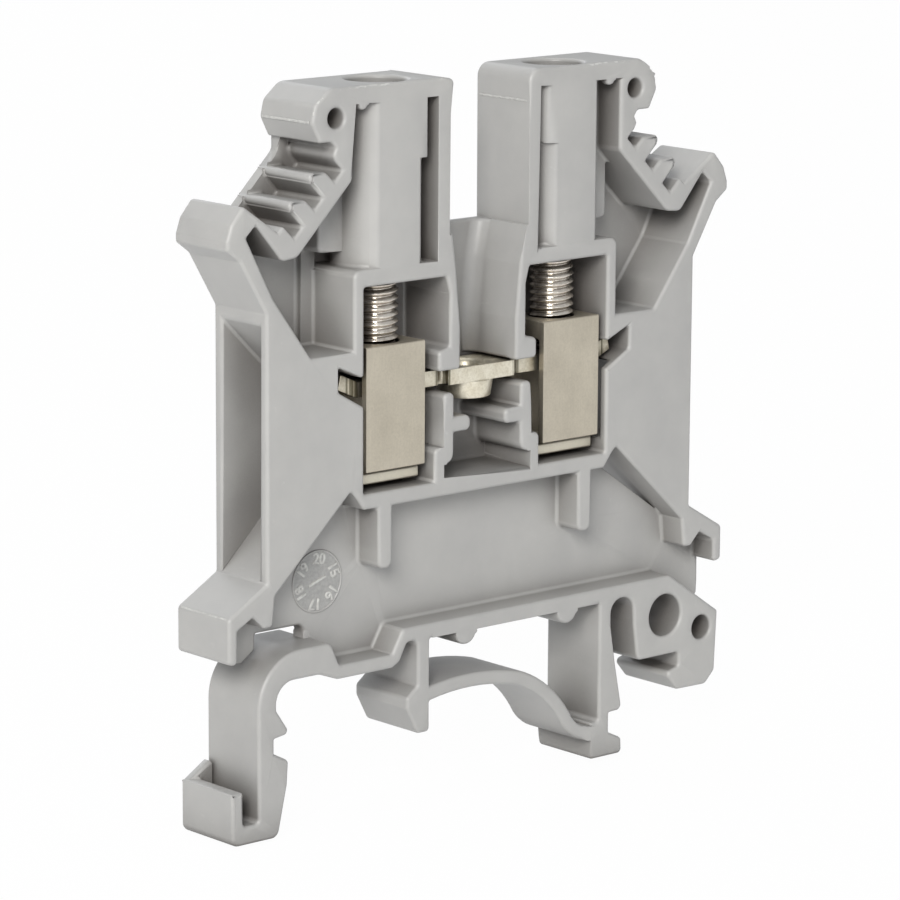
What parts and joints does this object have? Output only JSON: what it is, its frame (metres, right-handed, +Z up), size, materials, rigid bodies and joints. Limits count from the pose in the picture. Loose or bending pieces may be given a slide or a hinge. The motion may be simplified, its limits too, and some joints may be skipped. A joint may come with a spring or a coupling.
{
  "type": "feed-through terminal block",
  "caption": "Slim rail-mounted feed-through terminal block with one moulded housing open on one side, two screw clamps and a current bar between them.",
  "frame": {"origin": "Centre of the bounding box's bottom face: under the middle of the length and of the thickness, at the height of the hook's lower face.", "axes": "+Z up, from the mounting rail towards the screw heads; X along the block's length and the wires' way, across the rail; Y along the rail, with the housing's open side facing -Y."},
  "size_m": [0.0426, 0.0052, 0.0468],
  "materials": {
    "moulding": "fine satin, light neutral grey polyamide",
    "bar_metal": "tinned copper alloy, satin",
    "sleeve_metal": "zinc-plated sheet steel, satin",
    "screw_metal": "zinc-plated steel"
  },
  "bodies": {
    "housing": {"housing": "moulding", "current_bar": "bar_metal"},
    "left_sleeve": {"left_clamp_sleeve": "sleeve_metal"},
    "right_sleeve": {"right_clamp_sleeve": "sleeve_metal"},
    "left_screw": {"left_clamp_screw": "screw_metal"},
    "right_screw": {"right_clamp_screw": "screw_metal"}
  },
  "joints": [
    {"name": "left_sleeve_lift", "type": "slide", "parent": "housing", "child": "left_sleeve", "axis": [0, 0, 1], "range_m": [0, 0.00375]},
    {"name": "right_sleeve_lift", "type": "slide", "parent": "housing", "child": "right_sleeve", "axis": [0, 0, 1], "range_m": [0, 0.00375]},
    {"name": "left_screw_turn", "type": "hinge", "parent": "housing", "child": "left_screw", "pos_m": [-0.0075, -0.00022, 0.0352], "axis": [0, 0, -1], "range_deg": [0, 2700]},
    {"name": "right_screw_turn", "type": "hinge", "parent": "housing", "child": "right_screw", "pos_m": [0.0075, -0.00022, 0.0352], "axis": [0, 0, -1], "range_deg": [0, 2700]}
  ],
  "couplings": [
    {"joint": "left_screw_turn", "follows": "left_sleeve_lift", "rad_per_m": 12566},
    {"joint": "right_screw_turn", "follows": "right_sleeve_lift", "rad_per_m": 12566}
  ]
}
